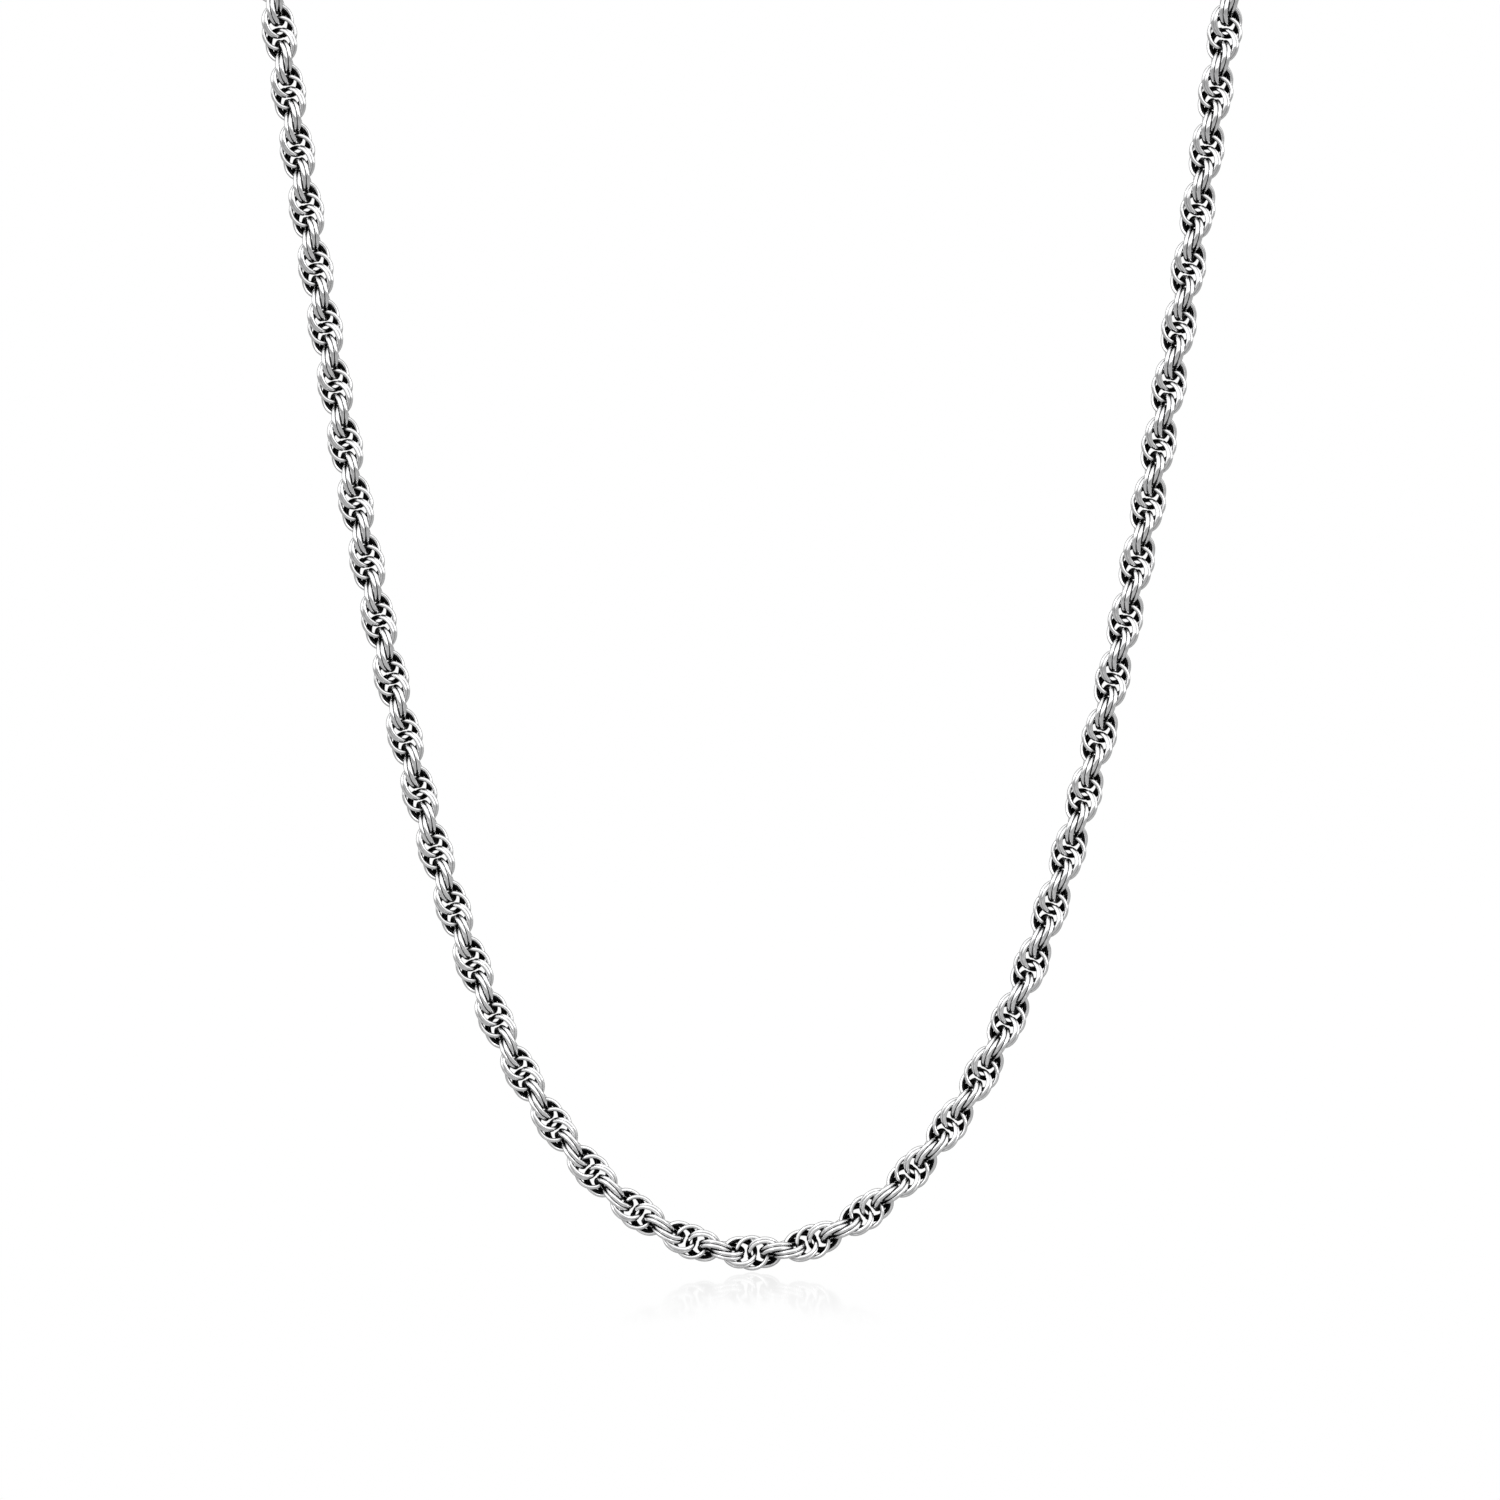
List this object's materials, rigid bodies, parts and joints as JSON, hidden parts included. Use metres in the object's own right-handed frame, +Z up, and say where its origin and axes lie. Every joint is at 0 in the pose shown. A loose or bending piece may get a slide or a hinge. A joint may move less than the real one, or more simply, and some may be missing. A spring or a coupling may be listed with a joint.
{
  "type": "chain necklace",
  "caption": "Rope chain necklace of packed open link rings in a closed loop, hanging in a narrow U, with pinned end caps and a sprung lobster clasp at the nape.",
  "frame": {"origin": "middle of the neck opening: midway between the two points where the chain crosses the sides of the neck, at the height of the chain at the back of the neck", "axes": "+Z up, with the drop hanging towards -Z; -Y towards the front of the chest and +Y towards the nape; +X to the right as seen from the front"},
  "size_m": [0.1124, 0.0622, 0.1547],
  "materials": {
    "silver_links": "polished",
    "silver_findings": "polished",
    "spring_steel": "drawn wire"
  },
  "bodies": {
    "collar": {"left_run_18": "silver_links", "right_run_18": "silver_links", "left_run_17": "silver_links", "right_run_17": "silver_links", "left_run_16": "silver_links", "right_run_16": "silver_links", "left_run_15": "silver_links", "right_run_15": "silver_links", "left_run_14": "silver_links", "right_run_14": "silver_links", "left_run_13": "silver_links", "right_run_13": "silver_links", "left_run_12": "silver_links", "right_run_12": "silver_links", "end_cap_left": "silver_findings", "end_cap_right": "silver_findings", "cap_pin_left": "silver_findings", "cap_pin_right": "silver_findings"},
    "drop_11": {"left_run_11": "silver_links", "right_run_11": "silver_links"},
    "drop_10": {"left_run_10": "silver_links", "right_run_10": "silver_links"},
    "drop_09": {"left_run_09": "silver_links", "right_run_09": "silver_links"},
    "drop_08": {"left_run_08": "silver_links", "right_run_08": "silver_links"},
    "drop_07": {"left_run_07": "silver_links", "right_run_07": "silver_links"},
    "drop_06": {"left_run_06": "silver_links", "right_run_06": "silver_links"},
    "drop_05": {"left_run_05": "silver_links", "right_run_05": "silver_links"},
    "drop_04": {"left_run_04": "silver_links", "right_run_04": "silver_links"},
    "drop_bottom": {"left_run_03": "silver_links", "right_run_03": "silver_links", "left_run_02": "silver_links", "right_run_02": "silver_links", "left_run_01": "silver_links", "right_run_01": "silver_links", "bottom_run": "silver_links"},
    "clasp": {"clasp_body": "silver_findings", "clasp_pin": "silver_findings"},
    "trigger": {"clasp_trigger": "silver_findings", "clasp_spring": "spring_steel"},
    "jump_ring": {"jump_ring": "silver_findings"},
    "catch_ring": {"catch_ring": "silver_findings"}
  },
  "joints": [
    {"name": "swing_11", "type": "hinge", "parent": "collar", "child": "drop_11", "pos_m": [0, -0.014, -0.01513], "axis": [1, 0, 0], "range_deg": [-4, 4]},
    {"name": "swing_10", "type": "hinge", "parent": "drop_11", "child": "drop_10", "pos_m": [0, -0.014, -0.02811], "axis": [1, 0, 0], "range_deg": [-4, 4]},
    {"name": "swing_09", "type": "hinge", "parent": "drop_10", "child": "drop_09", "pos_m": [0, -0.014, -0.04106], "axis": [1, 0, 0], "range_deg": [-4, 4]},
    {"name": "swing_08", "type": "hinge", "parent": "drop_09", "child": "drop_08", "pos_m": [0, -0.014, -0.05399], "axis": [1, 0, 0], "range_deg": [-4, 4]},
    {"name": "swing_07", "type": "hinge", "parent": "drop_08", "child": "drop_07", "pos_m": [0, -0.014, -0.06689], "axis": [1, 0, 0], "range_deg": [-4, 4]},
    {"name": "swing_06", "type": "hinge", "parent": "drop_07", "child": "drop_06", "pos_m": [0, -0.014, -0.07974], "axis": [1, 0, 0], "range_deg": [-4, 4]},
    {"name": "swing_05", "type": "hinge", "parent": "drop_06", "child": "drop_05", "pos_m": [0, -0.014, -0.09253], "axis": [1, 0, 0], "range_deg": [-4, 4]},
    {"name": "swing_04", "type": "hinge", "parent": "drop_05", "child": "drop_04", "pos_m": [0, -0.014, -0.1052], "axis": [1, 0, 0], "range_deg": [-4, 4]},
    {"name": "swing_03", "type": "hinge", "parent": "drop_04", "child": "drop_bottom", "pos_m": [0, -0.014, -0.11766], "axis": [1, 0, 0], "range_deg": [-3, 3]},
    {"name": "clasp_roll", "type": "hinge", "parent": "collar", "child": "clasp", "pos_m": [0, 0.04354, 0], "axis": [1, 0, 0], "range_deg": [-25, 25]},
    {"name": "trigger_press", "type": "hinge", "parent": "clasp", "child": "trigger", "pos_m": [0.0015, 0.04354, -0.0019], "axis": [0, 1, 0], "range_deg": [0, 25], "stiffness_Nm_per_rad": 0.0004, "springref_deg": -8.59},
    {"name": "jump_ring_turn", "type": "hinge", "parent": "collar", "child": "jump_ring", "pos_m": [0.00565, 0.04354, 0], "axis": [0, 0, 1], "continuous": true},
    {"name": "catch_ring_turn", "type": "hinge", "parent": "collar", "child": "catch_ring", "pos_m": [-0.00504, 0.04354, 0], "axis": [0, 0, 1], "continuous": true}
  ]
}
